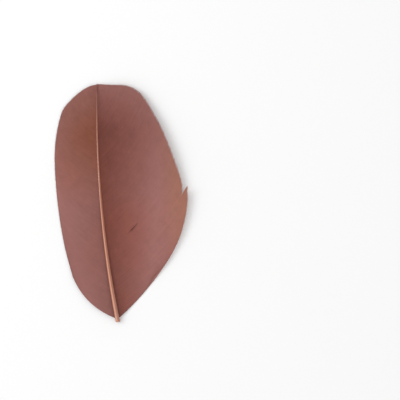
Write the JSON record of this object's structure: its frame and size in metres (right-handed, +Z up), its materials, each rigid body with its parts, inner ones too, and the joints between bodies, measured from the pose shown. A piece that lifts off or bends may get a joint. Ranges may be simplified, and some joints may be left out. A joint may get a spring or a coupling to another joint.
{
  "type": "goose quill feather",
  "caption": "Leaf-shaped trimmed goose feather with a short cut quill, lying back side up, its wide vane nicked at the margin.",
  "frame": {"origin": "on the surface that the feather lies on, below the middle of its outline", "axes": "+Y from the cut quill end towards the tip, +Z up from the surface, out of the feather's back"},
  "size_m": [0.079, 0.1432, 0.0062],
  "materials": {
    "barbs": "dyed dusky mauve-brown feather barbs, velvety and matt with a faint silky sheen along the barbs",
    "shaft": "smooth satin keratin, dyed orange-tan, paler along its crest"
  },
  "bodies": {
    "root": {"feather": "barbs"}
  },
  "joints": []
}
